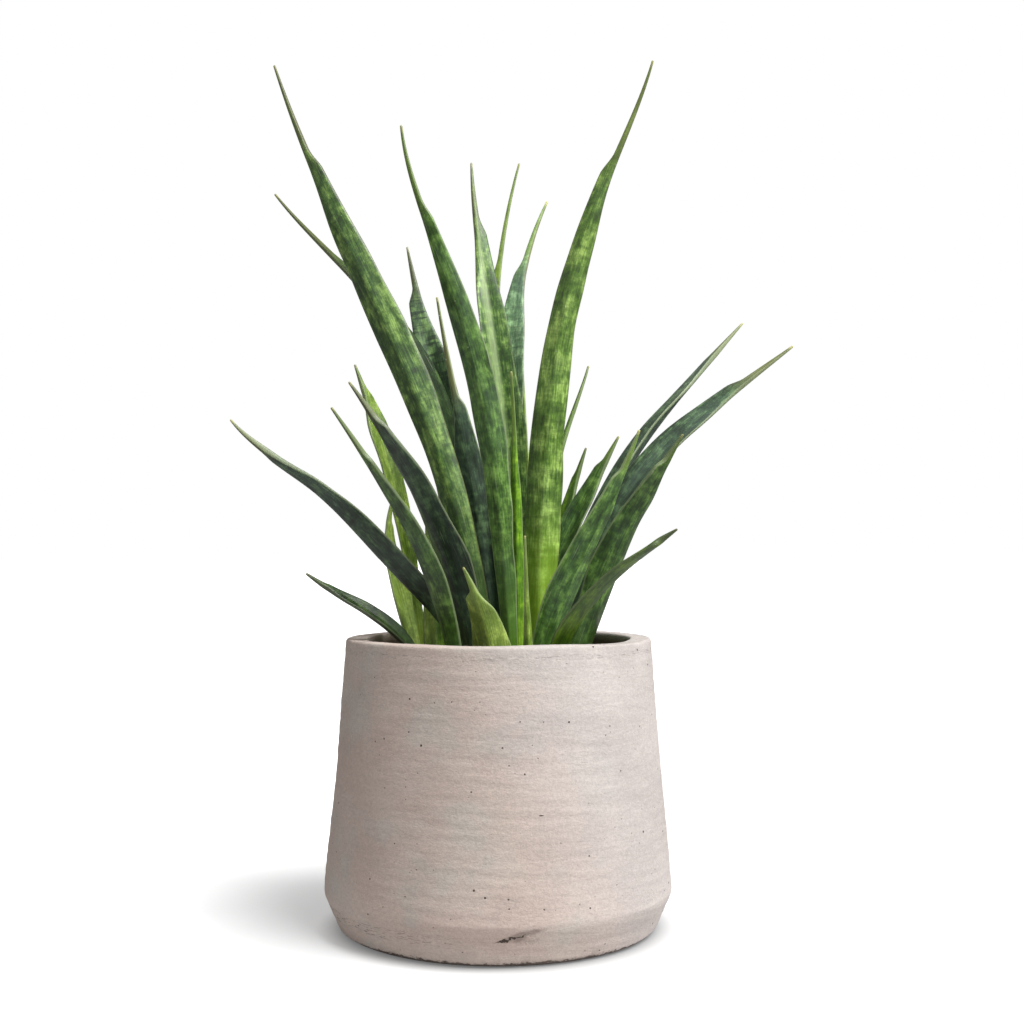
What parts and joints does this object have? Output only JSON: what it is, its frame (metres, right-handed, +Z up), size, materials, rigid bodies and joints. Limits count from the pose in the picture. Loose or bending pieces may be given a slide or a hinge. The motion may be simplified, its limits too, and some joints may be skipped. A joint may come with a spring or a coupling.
{
  "type": "potted star sansevieria",
  "caption": "Decorative potted succulent: a clump of narrow, channelled, mottled leaves with awl-shaped tips, in a round fibre-clay pot with a low belly and a chamfered foot.",
  "frame": {"origin": "centre of the pot's flat foot, on the surface that it stands on", "axes": "+Z up along the pot's axis, -Y towards the viewer of the picture, +X to the viewer's right"},
  "size_m": [0.3078, 0.2138, 0.4797],
  "materials": {
    "fibre_clay": "matte",
    "potting_mix": "matte",
    "leaf_bright": "satin",
    "leaf_green": "satin",
    "leaf_slate": "satin",
    "leaf_olive": "satin"
  },
  "bodies": {
    "root": {"pot": "fibre_clay", "soil": "potting_mix", "leaf_tall_left": "leaf_bright", "leaf_tall_front": "leaf_green", "leaf_tall_back": "leaf_bright", "leaf_tall_right": "leaf_bright", "leaf_slim_back": "leaf_olive", "leaf_dark_back": "leaf_slate", "leaf_banded_back": "leaf_slate", "leaf_strip_back": "leaf_olive", "leaf_back_left": "leaf_slate", "leaf_dark_mid": "leaf_slate", "leaf_mid_front": "leaf_green", "leaf_new_shoot": "leaf_olive", "leaf_short_front": "leaf_olive", "leaf_slate_left": "leaf_slate", "leaf_front_left": "leaf_green", "leaf_arch_left": "leaf_slate", "leaf_low_left": "leaf_green", "leaf_pale_left": "leaf_olive", "leaf_olive_left": "leaf_olive", "leaf_olive_small": "leaf_olive", "leaf_front_right": "leaf_green", "leaf_low_right": "leaf_green", "leaf_broad_right": "leaf_green", "leaf_arch_right": "leaf_slate", "leaf_high_right": "leaf_slate", "leaf_mid_right": "leaf_green", "leaf_small_right": "leaf_green", "leaf_slim_right": "leaf_green", "leaf_rear_left": "leaf_green", "leaf_rear_left_low": "leaf_green", "leaf_rear_mid": "leaf_green", "leaf_rear_mid_low": "leaf_green", "leaf_rear_right": "leaf_green", "leaf_rear_right_low": "leaf_green"}
  },
  "joints": []
}
